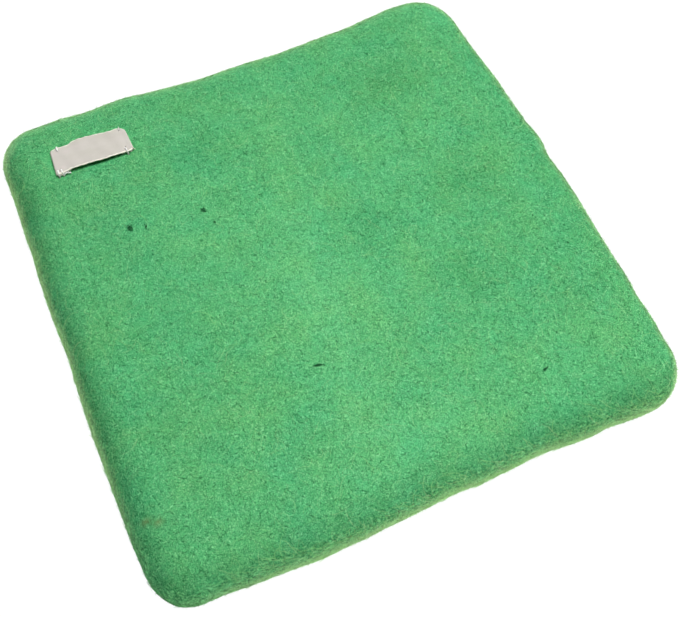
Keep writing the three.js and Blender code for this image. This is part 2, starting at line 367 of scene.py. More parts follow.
class Graph:
    """The nodes of a material or a world, with short ways to add and join them."""

    def __init__(self, owner):
        owner.use_nodes = True
        self.tree = owner.node_tree

    def add(self, kind, inputs=(), **settings):
        node = self.tree.nodes.new(kind)
        for key, value in settings.items():
            setattr(node, key, value)
        for key, value in dict(inputs).items():
            self.put(node, key, value)
        return node

    def put(self, node, key, value):
        if isinstance(value, bpy.types.NodeSocket):
            self.tree.links.new(value, node.inputs[key])
        else:
            node.inputs[key].default_value = value

    def maths(self, operation, *values, clamp=False):
        node = self.add("ShaderNodeMath", enumerate(values), operation=operation, use_clamp=clamp)
        return node.outputs[0]

    def vector(self, operation, *values):
        return self.add("ShaderNodeVectorMath", enumerate(values), operation=operation).outputs[0]

    def step(self, value, start, end, low=0.0, high=1.0):
        """A value spread smoothly from one range to another."""
        inputs = {"Value": value, "From Min": start, "From Max": end, "To Min": low, "To Max": high}
        return self.add("ShaderNodeMapRange", inputs, interpolation_type="SMOOTHSTEP").outputs[0]

    def mix(self, share, first, second, blend="MIX"):
        node = self.add("ShaderNodeMix", data_type="RGBA", blend_type=blend)
        for key, value in ((0, share), (6, first), (7, second)):
            self.put(node, key, value)
        return node.outputs[2]

    def noise(self, place, size, detail=2.0, roughness=0.5):
        """Noise from 0 to 1 with lumps of about a size in millimetres, or of three sizes."""
        scaled = self.vector("MULTIPLY", place, (1 / np.broadcast_to(size, 3)).tolist())
        inputs = {"Vector": scaled, "Scale": 1.0, "Detail": detail, "Roughness": roughness}
        return self.add("ShaderNodeTexNoise", inputs).outputs["Fac"]

    def ramp(self, share, *stops):
        node = self.add("ShaderNodeValToRGB", {"Fac": share})
        elements = node.color_ramp.elements
        while len(elements) < len(stops):
            elements.new(0.5)
        for element, (place, colour) in zip(elements, stops):
            element.position = place
            element.color = colour
        return node.outputs["Color"]

    def place(self):
        """The point being shaded, in millimetres of the mat's frame."""
        point = self.add("ShaderNodeTexCoord").outputs["Object"]
        return self.vector("MULTIPLY", point, (1 / MM, 1 / MM, 1 / MM))


class Look(Graph):
    """The nodes of a new material with one main shader."""

    def __init__(self, name):
        self.material = bpy.data.materials.new(name)
        super().__init__(self.material)
        self.tree.nodes.clear()
        self.output = self.add("ShaderNodeOutputMaterial")
        self.shader = self.add("ShaderNodeBsdfPrincipled")
        self.put(self.output, "Surface", self.shader.outputs[0])

    def finish(self, **inputs):
        for key, value in inputs.items():
            self.put(self.shader, key.replace("_", " "), value)
        return self.material


GAP_GREEN = linear(36, 108, 62)
DARK_GREEN = linear(48, 130, 78)
DEEP_GREEN = linear(69, 159, 103)
MID_GREEN = linear(91, 183, 118)
LIGHT_GREEN = linear(112, 205, 136)
BRIGHT_GREEN = linear(156, 232, 170)
# Pale colour painted on the lower rims as light from the bright floor
RIM_LIGHT_GREEN = linear(206, 246, 184)
BROWN = linear(128, 126, 76)
PALE_TINTS = (0.0, linear(150, 216, 126)), (0.6, linear(200, 242, 160)), (1.0, linear(238, 252, 200))
SPECK_TINTS = (0.0, linear(10, 62, 32)), (1.0, GAP_GREEN)
RAW_TINTS = (0.35, linear(214, 205, 182)), (0.7, linear(244, 239, 226))
RIBBON_TINTS = (0.3, linear(202, 198, 188)), (0.6, linear(208, 203, 195)), (0.8, linear(214, 204, 199))
WEAVE_SHADE = linear(160, 150, 140)
WHITE_THREAD = linear(250, 250, 244), linear(255, 255, 252)
# Edge cords of the ribbon: cream, made lighter than the ribbon as a painted highlight where its edge
# catches the light
CREAM_AND_HIGHLIGHT_THREAD = linear(240, 236, 216), linear(254, 252, 238)

# Patches of lighter or darker tone, mostly where the wool took more or less dye, and painted shade on the
# left roll: middle, half lengths along x and y, and how much lighter
DYE_AND_SHADE_PATCHES = (
    # Lightens the middle of the top face
    (0, -15, 190, 190, 0.11),
    (-10, -19, 24, 85, 0.09),
    (-18, -60, 30, 34, 0.06),
    (-43, 41, 16, 24, 0.07),
    (61, 6, 26, 24, -0.15),
    (20, 2, 26, 26, -0.16),
    (-27, 61, 26, 16, -0.10),
    (-65, 36, 26, 32, -0.02),
    (44, -32, 36, 26, -0.14),
    (56, 64, 44, 20, -0.14),
    (-78, -10, 30, 14, -0.06),
    (-97, 64, 16, 40, -0.14),
    (77, -72, 30, 20, 0.06),
    (0, -85, 110, 40, 0.09),
    # Painted shade: darkens the left roll
    (-99, -10, 13, 180, -0.16),
    (102, 0, 20, 200, -0.12),
)
STAINS = ((-95.6, -73.9, 4.0, 2.8), (-91.8, -76.0, 4.0, 2.8))
STAIN_SHARE = 0.55
DYE_LUMP, DYE_LAYERS = 17.0, ((13.0, 60.0, 30.0), (60.0, 12.0, 30.0))
DYE_CONTRAST, DYE_MIDDLE = 0.09, 0.345
HUE_LUMP = 16.0
BLUER, YELLOWER = linear(234, 255, 255), linear(255, 255, 243)

# Wool of the rolled edge: heights over which it turns into that of the top, and its clumps and contrasts
ROLL_HEIGHTS = (18.0, 23.0)
CLUMP_CELL, CLUMP_OFFSET, CLUMP_SIZE = 4.5, 23.0, (4.2, 0.85, 0.85)
CLUMP_CONTRAST, ROLL_CONTRAST = 1.8, 0.9

# Painted rim light: a pale colour on the lower rims for light from the bright floor; heights where it
# starts and where it thins out, and its share of each tone
RIM_LIGHT_TOP, RIM_LIGHT_FOOT, FOOT_SHARE = (21.1, 15.1), (6.0, 12.0), 0.2
RIM_LIGHT_TONES, RIM_LIGHT_SHARES = (0.0, 0.8), (0.3, 0.8)

# Places where the front, right and back side begin, and how much lower the painted rim light lies there
FRONT_EDGE, RIGHT_EDGE, BACK_EDGE = (-96.0, -104.0), (92.0, 100.0), (84.0, 92.0)
RIM_LIGHT_LOWER = (3.9, -2.9, -3.3)
RIGHT_SHARE = 0.5
BACK_FOOT, BACK_FOOT_LESS = (13.0, 19.0), 0.8
DIM_RIM_CORNER, DIM_RIM_SHARE = (-100, -92, 60, 75), 1.3


def soft_spot(graph, place, x, y, half_x, half_y):
    """1 at a place on the mat, fading to 0 at half lengths from it."""
    scale = (1 / half_x, 1 / half_y, 0.0)
    local = graph.vector("MULTIPLY_ADD", place, scale, (-x / half_x, -y / half_y, 0.0))
    spot = graph.add("ShaderNodeTexGradient", {"Vector": local}, gradient_type="QUADRATIC_SPHERE")
    return spot.outputs["Fac"]


STROKE_SIZE = (3.4, 0.27, 0.27)
BEND_SCALE, BEND = 0.4, (2.4, 2.4, 2.4)


def strokes(graph, place, cell, offset, size=STROKE_SIZE):
    """Short streaks turned another way in each cell, like fibres that lie in all directions."""
    moved = graph.vector("ADD", place, (offset, offset * 1.7, offset * 0.6))
    warp = graph.add("ShaderNodeTexNoise", {"Vector": moved, "Scale": BEND_SCALE, "Detail": 1.0})
    bent = graph.vector("MULTIPLY_ADD", warp.outputs["Color"], BEND, moved)
    cells = graph.add("ShaderNodeTexVoronoi", {"Vector": bent, "Scale": 1 / cell}).outputs["Color"]
    angle = graph.maths("MULTIPLY", cells, 2 * math.pi)
    turned = graph.add("ShaderNodeVectorRotate", {"Vector": bent, "Angle": angle}, rotation_type="Z_AXIS")
    return graph.noise(turned.outputs[0], size, detail=1.0)


def pale_corner(graph, place):
    """How much of the painted rim light and of the hairs' paleness shows: all of it but at the front left
    corner.
    """
    spot = soft_spot(graph, place, *DIM_RIM_CORNER)
    return graph.maths("MULTIPLY_ADD", spot, -DIM_RIM_SHARE, 1.0, clamp=True)


def painted_rim_light(graph, place, tone):
    """How much painted rim light, a pale colour for light from the bright floor, the rims get, in a band
    that lies low at the front and high at right and back.
    """
    x, y, z = graph.add("ShaderNodeSeparateXYZ", {0: place}).outputs
    front, right, back = graph.step(y, *FRONT_EDGE), graph.step(x, *RIGHT_EDGE), graph.step(y, *BACK_EDGE)
    rise = z
    for side, lower in zip((front, right, back), RIM_LIGHT_LOWER):
        rise = graph.maths("MULTIPLY_ADD", side, lower, rise)
    shares = (
        graph.step(rise, *RIM_LIGHT_TOP),
        graph.step(rise, *RIM_LIGHT_FOOT, FOOT_SHARE, 1.0),
        graph.step(right, 0.0, 1.0, 1.0, RIGHT_SHARE),
        graph.maths("MULTIPLY_ADD", back, graph.step(z, *BACK_FOOT, -BACK_FOOT_LESS, 0.0), 1.0),
        pale_corner(graph, place),
    )
    rim_light = graph.step(tone, *RIM_LIGHT_TONES, *RIM_LIGHT_SHARES)
    for share in shares:
        rim_light = graph.maths("MULTIPLY", rim_light, share, clamp=True)
    return rim_light


def dyed_wool(graph, place, shift):
    """Green wool that took its dye unevenly, in crossed layers and patches, with painted shade on the left
    roll and painted rim light on the lower rims.
    """
    tone = graph.noise(place, DYE_LUMP, detail=3.0)
    for size in DYE_LAYERS:
        tone = graph.maths("ADD", tone, graph.noise(place, size, detail=2.0))
    tone = graph.maths("MULTIPLY_ADD", tone, DYE_CONTRAST, DYE_MIDDLE)
    for *spot, lighter in DYE_AND_SHADE_PATCHES:
        tone = graph.maths("MULTIPLY_ADD", soft_spot(graph, place, *spot), lighter, tone)
    height = graph.add("ShaderNodeSeparateXYZ", {0: place}).outputs["Z"]
    clumps = strokes(graph, place, CLUMP_CELL, CLUMP_OFFSET, CLUMP_SIZE)
    clumps = graph.maths("SUBTRACT", clumps, 0.5)
    for part, on_edge, on_top in ((clumps, CLUMP_CONTRAST, 0.0), (shift, ROLL_CONTRAST, 1.0)):
        tone = graph.maths("MULTIPLY_ADD", graph.step(height, *ROLL_HEIGHTS, on_edge, on_top), part, tone)
    colour = graph.ramp(tone, (0.0, GAP_GREEN), (0.15, DARK_GREEN), (0.32, DEEP_GREEN), (0.5, MID_GREEN),
                        (0.72, LIGHT_GREEN), (1.0, BRIGHT_GREEN))
    hues = graph.ramp(graph.noise(place, HUE_LUMP, detail=2.0), (0.3, BLUER), (0.7, YELLOWER))
    colour = graph.mix(1.0, colour, hues, blend="MULTIPLY")
    for spot in STAINS:
        stain = graph.maths("MULTIPLY", soft_spot(graph, place, *spot), STAIN_SHARE)
        colour = graph.mix(stain, colour, BROWN)
    # Painted rim light: the rims mixed towards a pale green for light from the bright floor
    return graph.mix(painted_rim_light(graph, place, tone), colour, RIM_LIGHT_GREEN)


FELT_LAYERS = ((4.2, 0.0), (5.4, 31.0), (6.8, 67.0))
GAP_SIZE, GAP_CONTRAST = 0.3, 1.4
FELT_MIDDLE = -1.28
FIBRE_CONTRAST, FIBRE_MIDDLE = 0.9, -2.8
GRAIN_CELL, GRAIN_OFFSET, GRAIN_SIZE, GRAIN_CONTRAST = 2.6, 13.0, (1.1, 0.24, 0.24), 4.6
HAIR_SHIFT = 0.1
# How pale the hairs are; the fuzz's paleness is partly painted light shining through it from the bright
# floor
FUZZ_PALENESS, LOCK_PALENESS, HAIR_PALENESS = 0.45, 0.3, 0.25
SHEEN_TINT = linear(232, 240, 186)


def felt_material():
    graph = Look("green_felt")
    place = graph.place()
    layers = [strokes(graph, place, *layer) for layer in FELT_LAYERS]
    lines = graph.maths("MAXIMUM", graph.maths("MAXIMUM", *layers[:2]), layers[2])
    gaps = graph.noise(place, GAP_SIZE, detail=1.0)
    shift = graph.maths("ADD", lines, FELT_MIDDLE)
    shift = graph.maths("MULTIPLY_ADD", gaps, GAP_CONTRAST, shift)
    colour = dyed_wool(graph, place, shift)
    bump = graph.add("ShaderNodeBump", {"Height": lines, "Strength": 0.4, "Distance": 0.3 * MM})
    return graph.finish(Base_Color=colour, Roughness=0.95, Specular_IOR_Level=0.1, Sheen_Weight=0.9,
                        Sheen_Roughness=0.25, Sheen_Tint=SHEEN_TINT, Normal=bump.outputs[0])


def fibre_material():
    """Wool of which each fibre took the dye in its own way."""
    graph = Look("loose_fibres")
    each = graph.add("ShaderNodeNewGeometry").outputs["Random Per Island"]
    place = graph.place()
    grain = strokes(graph, place, GRAIN_CELL, GRAIN_OFFSET, GRAIN_SIZE)
    shift = graph.maths("MULTIPLY_ADD", each, FIBRE_CONTRAST, FIBRE_MIDDLE)
    shift = graph.maths("MULTIPLY_ADD", grain, GRAIN_CONTRAST, shift)
    return graph.finish(Base_Color=dyed_wool(graph, place, shift), Roughness=0.85, Specular_IOR_Level=0.2,
                        Sheen_Weight=0.8, Sheen_Roughness=0.25, Sheen_Tint=SHEEN_TINT)


def pale_material(name, share):
    """Wool hairs that took less dye by a share; on the edge fuzz the paleness is also painted light,
    shining through the hairs from the bright floor.
    """
    graph = Look(name)
    each = graph.add("ShaderNodeNewGeometry").outputs["Random Per Island"]
    place = graph.place()
    share = graph.maths("MULTIPLY", pale_corner(graph, place), share)
    colour = graph.mix(share, dyed_wool(graph, place, HAIR_SHIFT), graph.ramp(each, *PALE_TINTS))
    return graph.finish(Base_Color=colour, Roughness=0.85, Specular_IOR_Level=0.2, Sheen_Weight=0.4,
                        Sheen_Roughness=0.4, Sheen_Tint=linear(235, 240, 190))


def speck_material():
    graph = Look("dark_wool_specks")
    each = graph.add("ShaderNodeNewGeometry").outputs["Random Per Island"]
    colour = graph.ramp(each, *SPECK_TINTS)
    return graph.finish(Base_Color=colour, Roughness=0.85, Specular_IOR_Level=0.2)


RAW_LAYERS = ((6.0, 5.0), (9.0, 41.0))


def batt_material():
    graph = Look("raw_wool")
    place = graph.place()
    wisps = graph.maths("MAXIMUM", *[strokes(graph, place, *layer) for layer in RAW_LAYERS])
    colour = graph.ramp(wisps, *RAW_TINTS)
    bump = graph.add("ShaderNodeBump", {"Height": wisps, "Strength": 0.5, "Distance": 0.4 * MM})
    return graph.finish(Base_Color=colour, Roughness=0.95, Specular_IOR_Level=0.1, Sheen_Weight=0.3,
                        Sheen_Roughness=0.5, Normal=bump.outputs[0])


WEAVE_PITCHES, WEAVE_SHARE = {"X": 0.42, "Y": 0.36}, 0.12
SOIL_SIZE = (7.0, 4.0, 4.0)


def ribbon_material():
    """Plain weave with a little soiling."""
    graph = Look("label_ribbon")
    place = graph.place()
    parts = graph.add("ShaderNodeSeparateXYZ", {0: place}).outputs
    waves = [graph.maths("SINE", graph.maths("MULTIPLY", parts[axis], 2 * math.pi / pitch))
             for axis, pitch in WEAVE_PITCHES.items()]
    weave = graph.maths("MULTIPLY", *waves)
    colour = graph.ramp(graph.noise(place, SOIL_SIZE, detail=3.0), *RIBBON_TINTS)
    colour = graph.mix(graph.step(weave, -1.0, 1.0, 0.0, WEAVE_SHARE), colour, WEAVE_SHADE)
    bump = graph.add("ShaderNodeBump", {"Height": weave, "Strength": 0.3, "Distance": 0.06 * MM})
    return graph.finish(Base_Color=colour, Roughness=0.75, Specular_IOR_Level=0.25, Normal=bump.outputs[0])


def thread_material(name, dark, light):
    graph = Look(name)
    tone = graph.noise(graph.place(), 0.5, detail=3.0)
    colour = graph.ramp(tone, (0.3, dark), (0.7, light))
    return graph.finish(Base_Color=colour, Roughness=0.7, Specular_IOR_Level=0.25, Sheen_Weight=0.2)


# Strands

FLAT_TOP = np.array([(0.9, 0.35), (-0.9, 0.35), (0.0, -0.6)])
ROUND = np.array([(math.cos(a), math.sin(a)) for a in np.arange(6) * math.pi / 3])
PATCH_MARGIN = 0.08


def strands(name, paths, normals, radii, section, material, smooth=False):
    """Closed strands with pointed ends along many paths, in one mesh with a patch of bake map for each."""
    count, length = paths.shape[:2]
    sides = len(section)
    along = unit(np.gradient(paths, axis=1))
    side = unit(np.cross(along, normals))
    up = np.cross(side, along)
    reach = np.broadcast_to(radii, (count, length))[:, 1:-1, None]
    inner, side, up = paths[:, 1:-1], side[:, 1:-1], up[:, 1:-1]
    rings = np.stack([inner + reach * (across * side + rise * up) for across, rise in section], 2)
    number = np.arange(rings.size // 3).reshape(rings.shape[:3])
    start = number.size + np.arange(count)[:, None]
    turned = np.roll(number, -1, axis=2)
    quads = np.stack([number[:, 1:], turned[:, 1:], turned[:, :-1], number[:, :-1]], -1)
    first = np.stack(np.broadcast_arrays(number[:, 0], turned[:, 0], start), -1)
    last = np.stack(np.broadcast_arrays(start + count, turned[:, -1], number[:, -1]), -1)
    points = np.concatenate([rings.reshape(-1, 3), paths[:, 0], paths[:, -1]])
    faces = quads.reshape(-1, 4).tolist() + first.reshape(-1, 3).tolist() + last.reshape(-1, 3).tolist()
    piece = new_object(name, points, faces, material, smooth)
    columns = math.ceil(math.sqrt(count))
    cell = np.stack(np.divmod(np.arange(count), columns), 1).astype(float)[:, None, None]
    edge = np.arange(sides)[:, None]
    row = np.arange(1, length - 2)[:, None, None]
    patches = (
        (edge + np.array([0, 1, 1, 0]), row + np.array([1, 1, 0, 0])),
        (edge + np.array([0, 1, 0.5]), np.array([1, 1, 0])),
        (edge + np.array([0.5, 1, 0]), length - 2 + np.array([1, 0, 0])),
    )
    places = []
    for across, down in patches:
        share = np.stack(np.broadcast_arrays(across / sides, down / (length - 1)), -1)
        share = share.reshape(1, -1, *share.shape[-2:])
        share = PATCH_MARGIN + (1 - 2 * PATCH_MARGIN) * share
        places.append(((cell + share) / columns).reshape(-1, 2))
    bake_map(piece, np.concatenate(places))
    return piece


# Loose fibres

FIBRE_POINTS = 4
FIBRE_STEPS = ((0.4, 0.8), (0.6, 1.1))
CURL = 0.32
WANDER = 0.22
PIECE_FIBRES = 16000
FIBRE_PIECES = (8, 4)
FIBRE_RADII = (0.045, 0.08)
ARCH, ARCH_LIMITS = 0.08, (0.03, 0.4)
FREE_SHARE, FREE_SHARE_EDGE = 0.12, 0.25
FREE_END, FREE_END_LIMITS = 0.28, (0.1, 1.4)
LOWEST_FIBRE = 0.1
LABEL_CLEAR = 0.2
UP = Vector((0.0, 0.0, 1.0))


def surface_tree(skins):
    """A search tree over the outer faces of both skins, so that fibres can cross the seam."""
    points, faces, first = [], [], 0
    for skin, outer in skins:
        places = points_of(skin)
        points.append(places)
        faces.append(outer + first)
        first += len(places)
    return BVHTree.FromPolygons(np.concatenate(points).tolist(), np.concatenate(faces).tolist())


def everywhere(heights, slopes):
    return 1.0


def scattered(skin, outer, count, rng, share=everywhere):
    """Random places on the outer face of a skin and its normals there, thinned out by height and slope."""
    quads = points_of(skin)[outer]
    across = np.cross(quads[:, 2] - quads[:, 0], quads[:, 3] - quads[:, 1])
    areas = np.linalg.norm(across, axis=1)
    normals = across / areas[:, None]
    weights = areas * share(quads[:, 0, 2], normals[:, 2])
    chosen = rng.choice(len(quads), count, p=weights / weights.sum())
    u, v = rng.random((2, count, 1))
    a, b, c, d = quads[chosen].transpose(1, 0, 2)
    return (1 - v) * ((1 - u) * a + u * b) + v * ((1 - u) * d + u * c), normals[chosen]


def crawl(tree, starts, steps, points, rng, along_edge):
    """Curling paths over the surface, one from each start, with the surface normals along them."""
    paths = np.empty((len(starts), points, 3))
    normals = np.empty_like(paths)
    turns = rng.normal(0, 1, (len(starts), max(points, 3)))
    bends = rng.normal(0, CURL * (1 - along_edge), len(starts))
    for path, ups, start, step, turn, bend in zip(paths, normals, starts, steps, turns, bends):
        point, normal, _, _ = tree.find_nearest(Vector(start))
        heading = Vector(turn[:3]).cross(normal).normalized() * (1 - along_edge)
        heading = (heading + normal.cross(UP) * along_edge).normalized()
        for k in range(points):
            path[k], ups[k] = point, normal
            angle = bend + WANDER * turn[k]
            heading = heading * math.cos(angle) + normal.cross(heading) * math.sin(angle)
            point, normal, _, _ = tree.find_nearest(point + heading * step)
            heading = (heading - normal * heading.dot(normal)).normalized()
    return paths, normals


def clear_of_label(paths):
    """Which fibres have no point under the label."""
    flat = paths[..., :2]
    low, high = LABEL_LOW[:2] - LABEL_CLEAR, LABEL_HIGH[:2] + LABEL_CLEAR
    under = np.all((flat > low) & (flat < high), axis=2)
    return ~np.any(under & (paths[..., 2] > SEAM_Z), axis=1)


def lifted(paths, normals, rng):
    """Lifts fibres off the surface: most arch over it, and some have a free end, more so at the edges."""
    count, points = paths.shape[:2]
    share = np.linspace(0, 1, points)
    arch = rng.exponential(ARCH, (count, 1)).clip(*ARCH_LIMITS) * np.sin(math.pi * share)
    steepness = 1 - np.abs(normals[:, :1, 2])
    free = rng.random((count, 1)) < FREE_SHARE + FREE_SHARE_EDGE * steepness
    end = np.where(free, rng.exponential(FREE_END, (count, 1)).clip(*FREE_END_LIMITS), 0.0) * share ** 2
    raised = paths + normals * (arch + end)[..., None]
    raised[..., 2] = np.maximum(raised[..., 2], LOWEST_FIBRE)
    return raised


def add_wool(name, paths, normals, radii, material):
    wool = strands(name, paths, normals, radii, FLAT_TOP, material)
    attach(wool, "root")


def lay_fibres(name, starts, tree, steps, points, thickness, rng, material, along_edge=0.0):
    """Fibres that curl over the felt from given starts, but for those that would run under the label."""
    steps = rng.uniform(*steps, len(starts))
    paths, normals = crawl(tree, starts, steps, points, rng, along_edge)
    clear = clear_of_label(paths)
    paths, normals = paths[clear], normals[clear]
    radii = rng.uniform(*thickness, (len(paths), 1))
    add_wool(name, lifted(paths, normals, rng), normals, radii, material)


def loose_fibres(skin, outer, tree, pieces, material):
    """Pieces of loose fibres all over one skin."""
    for index in range(pieces):
        name = f"{skin.name}_fibres_{index + 1}"
        rng = np.random.default_rng([SEED, index, ord(name[0])])
        starts = scattered(skin, outer, PIECE_FIBRES, rng)[0]
        steps = FIBRE_STEPS[index % 2]
        lay_fibres(name, starts, tree, steps, FIBRE_POINTS, FIBRE_RADII, rng, material)


LOCKS, HAIRS, LONG_POINTS = 2600, 4500, 9
LONG_STEPS = (0.5, 1.3)
HAIR_RADII, LOCK_RADII = (0.05, 0.075), (0.08, 0.13)
LOCK_TOP, LOCK_FOOT, LOCK_COMBING = (21.0, 15.0), (4.0, 8.0), 0.65


def near_edge(heights, slopes):
    return smooth_step(heights, *LOCK_TOP) * smooth_step(heights, *LOCK_FOOT)


def long_fibres(name, skin, outer, tree, count, share, along_edge, thickness, material):
    """Long fibres that curl over the felt, or thicker locks that run along its edge."""
    rng = np.random.default_rng([SEED, LONG_SEED, ord(name[0]), len(name)])
    starts = scattered(skin, outer, count, rng, share)[0]
    lay_fibres(name, starts, tree, LONG_STEPS, LONG_POINTS, thickness, rng, material, along_edge)


FUZZ_HAIRS = 32000
FUZZ_TOP, FUZZ_FOOT, FLATTEST_FUZZ = (21.5, 13.5), (1.0, 6.0), 0.93
FUZZ_LEAST, FUZZ_HEIGHT, FUZZ_TALLEST = 0.06, 0.15, 0.8
FUZZ_SLANT, FUZZ_SLANT_LEAST = 0.7, 0.06
FUZZ_BEND_UP, FUZZ_BEND_ALONG = 0.7, 0.4
FUZZ_ROOT = 0.05
LOWEST_FUZZ = 0.06


def on_roll(heights, slopes):
    steep = np.abs(slopes) < FLATTEST_FUZZ
    return smooth_step(heights, *FUZZ_TOP) * smooth_step(heights, *FUZZ_FOOT) * steep


def edge_fuzz(name, skin, outer, material):
    """Short pale hairs that stand off the rounded edge."""
    rng = np.random.default_rng([SEED, FUZZ_SEED, ord(name[0]), ord(name[-1])])
    roots, ups = scattered(skin, outer, FUZZ_HAIRS, rng, on_roll)
    lean = unit(np.cross(rng.normal(size=roots.shape), ups))
    height = (FUZZ_LEAST + rng.exponential(FUZZ_HEIGHT, (FUZZ_HAIRS, 1))).clip(0, FUZZ_TALLEST)
    slant = height * rng.uniform(0.0, FUZZ_SLANT, (FUZZ_HAIRS, 1)) + FUZZ_SLANT_LEAST
    tips = roots + ups * height + lean * slant
    middles = roots + ups * height * FUZZ_BEND_UP + lean * slant * FUZZ_BEND_ALONG
    paths = np.stack([roots - FUZZ_ROOT * ups, middles, tips], 1)
    paths[..., 2] = np.maximum(paths[..., 2], LOWEST_FUZZ)
    beside = np.repeat(np.cross(ups, lean)[:, None], paths.shape[1], axis=1)
    radii = rng.uniform(*FIBRE_RADII, (FUZZ_HAIRS, 1))
    add_wool(name, paths, beside, radii, material)


# Specks of darker wool on the top face: middle, length, width, angle in degrees and number of fibres
SPECKS = (
    (-64.4, 36.7, 2.4, 1.9, 0, 30),
    (-58.5, 35.1, 2.2, 0.7, 70, 7),
    (-36.1, 33.3, 2.3, 0.9, -65, 22),
    (-34.1, 26.4, 1.0, 0.6, 0, 14),
    (-21.5, -45.1, 3.4, 0.6, -20, 13),
    (51.2, -78.8, 2.6, 0.4, 27, 14),
    (84.8, -36.0, 1.2, 0.4, 40, 4),
)
SPECK_LIFT = 0.28
SPECK_RADII = (0.12, 0.17)
SPECK_HALF, SPECK_LEAST = 0.3, 1.0
PARTS_ALONG, PARTS_ACROSS = 5, 3


def dark_specks(tree, material):
    """Clumps of dark fibres on the top face, spread by parts of their lengths and widths."""
    rng = np.random.default_rng([SEED, SPECK_SEED])
    paths, normals = [], []
    for x, y, length, width, angle, count in SPECKS:
        for along, across, bend in rng.normal(0, 1, (count, 3)):
            turn = math.radians(angle) + bend * width / length
            heading = np.array([math.cos(turn), math.sin(turn), 0.0])
            middle = np.array([x, y, TOP_Z]) + heading * along * length / PARTS_ALONG
            middle[:2] += across * width / PARTS_ACROSS * np.array([-heading[1], heading[0]])
            steps = np.linspace(-SPECK_HALF, SPECK_HALF, FIBRE_POINTS) * max(length, SPECK_LEAST)
            found = [tree.find_nearest(Vector(middle + heading * step)) for step in steps]
            paths.append([point for point, _, _, _ in found])
            normals.append([normal for _, normal, _, _ in found])
    paths, normals = np.array(paths), np.array(normals)
    radii = rng.uniform(*SPECK_RADII, (len(paths), 1))
    add_wool("dark_wool_specks", paths + SPECK_LIFT * normals, normals, radii, material)


# Wool batts inside the skin

BATT_OUTLINE = Outline(2.6, 5)
BATT_SIDE = ((0.0, 1.3), (0.05, 0.7), (0.18, 0.25), (0.5, 0.0), (0.82, 0.25), (0.95, 0.7), (1.0, 1.3))
BATT_DIP = 0.35
BATT_GRAINS = ((5.0, 30.0, 6.0), (30.0, 5.0, 6.0))
BATTS = 5


def wall_inset(heights):
    """How far the skin's inner wall stands in from the outline at a height."""
    sine = np.clip(np.abs(heights - SEAM_Z) / (SEAM_Z - SKIN), 0, 1) ** (1 / EDGE_POWER)
    return EDGE_REACH - (EDGE_REACH - SKIN) * np.sqrt(1 - sine ** 2) ** EDGE_POWER


def wool_batt(index, material):
    """A soft slab of carded wool with rounded edges, combed along x or y in turn."""
    node = f"core_batt_{index}"
    low, high = (corner[2] for corner in box_mm(node))
    outline = BATT_OUTLINE
    grain = BATT_GRAINS[index % 2]
    points, rings, count = [], [], 0
    for share, drawn_in in BATT_SIDE:
        height = low + (high - low) * share
        around, out = outline.ring(wall_inset(height) + FIT_GAP + drawn_in)
        end = share in (0.0, 1.0)
        if end:
            around = outline.grid(around)
        rings.append(outline.grid_border(count) if end else np.arange(count, count + len(around)))
        level = at_height(around, height)
        dip = BATT_DIP * (1 + noise_at(level, grain)) / 2
        if end:
            level[:, 2] += dip if share == 0.0 else -dip
        else:
            level[:, :2] -= out * dip[:, None]
        points.append(level)
        count += len(level)
    faces = [outline.grid_cells()[:, ::-1]] + [band(a, b) for a, b in zip(rings, rings[1:])]
    faces.append(outline.grid_cells(count - len(points[-1])))
    faces = np.concatenate(faces).tolist()
    batt = new_object(f"wool_batt_{index}", np.concatenate(points), faces, material)
    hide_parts(node)
    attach(batt, "root")


# Label

LABEL_STEP = 0.2
FOLD_CELLS = 8
HOLE_RADIUS = 0.34
NEEDLE_RADIUS = 0.24


def ribbon_line():
    """Places along and heights of the ribbon's middle line, from one turned-under end to the other."""
    bend = (CLOTH + FOLD_GAP) / 2
    middle = CLOTH / 2 + bend
    under = np.arange(TURN_UNDER, middle, -LABEL_STEP)
    over = np.linspace(middle, LABEL_LENGTH - middle, round((LABEL_LENGTH - 2 * middle) / LABEL_STEP))
    angles = np.linspace(-math.pi / 2, -3 * math.pi / 2, FOLD_CELLS + 2)[1:-1]
    left = np.column_stack([middle + bend * np.cos(angles), middle + bend * np.sin(angles)])
    right = np.column_stack([LABEL_LENGTH - left[::-1, 0], left[::-1, 1]])
    first, last = at_height(under, CLOTH / 2), at_height(LABEL_LENGTH - under[::-1], CLOTH / 2)
    return np.concatenate([first, left, at_height(over, middle + bend), right, last])


# How the long edges of the label wander and stand off the felt: distances along the label and offsets
BACK_WANDER = (
    (0, -0.7), (3, -0.3), (6.8, -0.5), (10.5, 0.5), (14, 0.5), (19, 0.0), (25, -0.65), (31, -0.2),
)
FRONT_WANDER = ((0, 0.0), (2.5, 0.0), (6, 0.5), (12, 0.35), (20, -0.2), (29, -0.1), (31, 0.2))
BACK_LIFT = ((0, 0.0), (8, 0.1), (12.5, 0.35), (17, 0.3), (24, 0.15), (31, 0.0))
FRONT_LIFT = ((0, 0.0), (4, 0.1), (8, 0.45), (20, 0.6), (26, 0.4), (29, 0.05), (31, 0.25))
RIPPLE, RIPPLE_ALONG, RIPPLE_ACROSS = 0.05, 0.9, 0.35
LABEL_STRETCH, LABEL_LEAN, LABEL_FLARE = 0.6, 0.8, 0.4

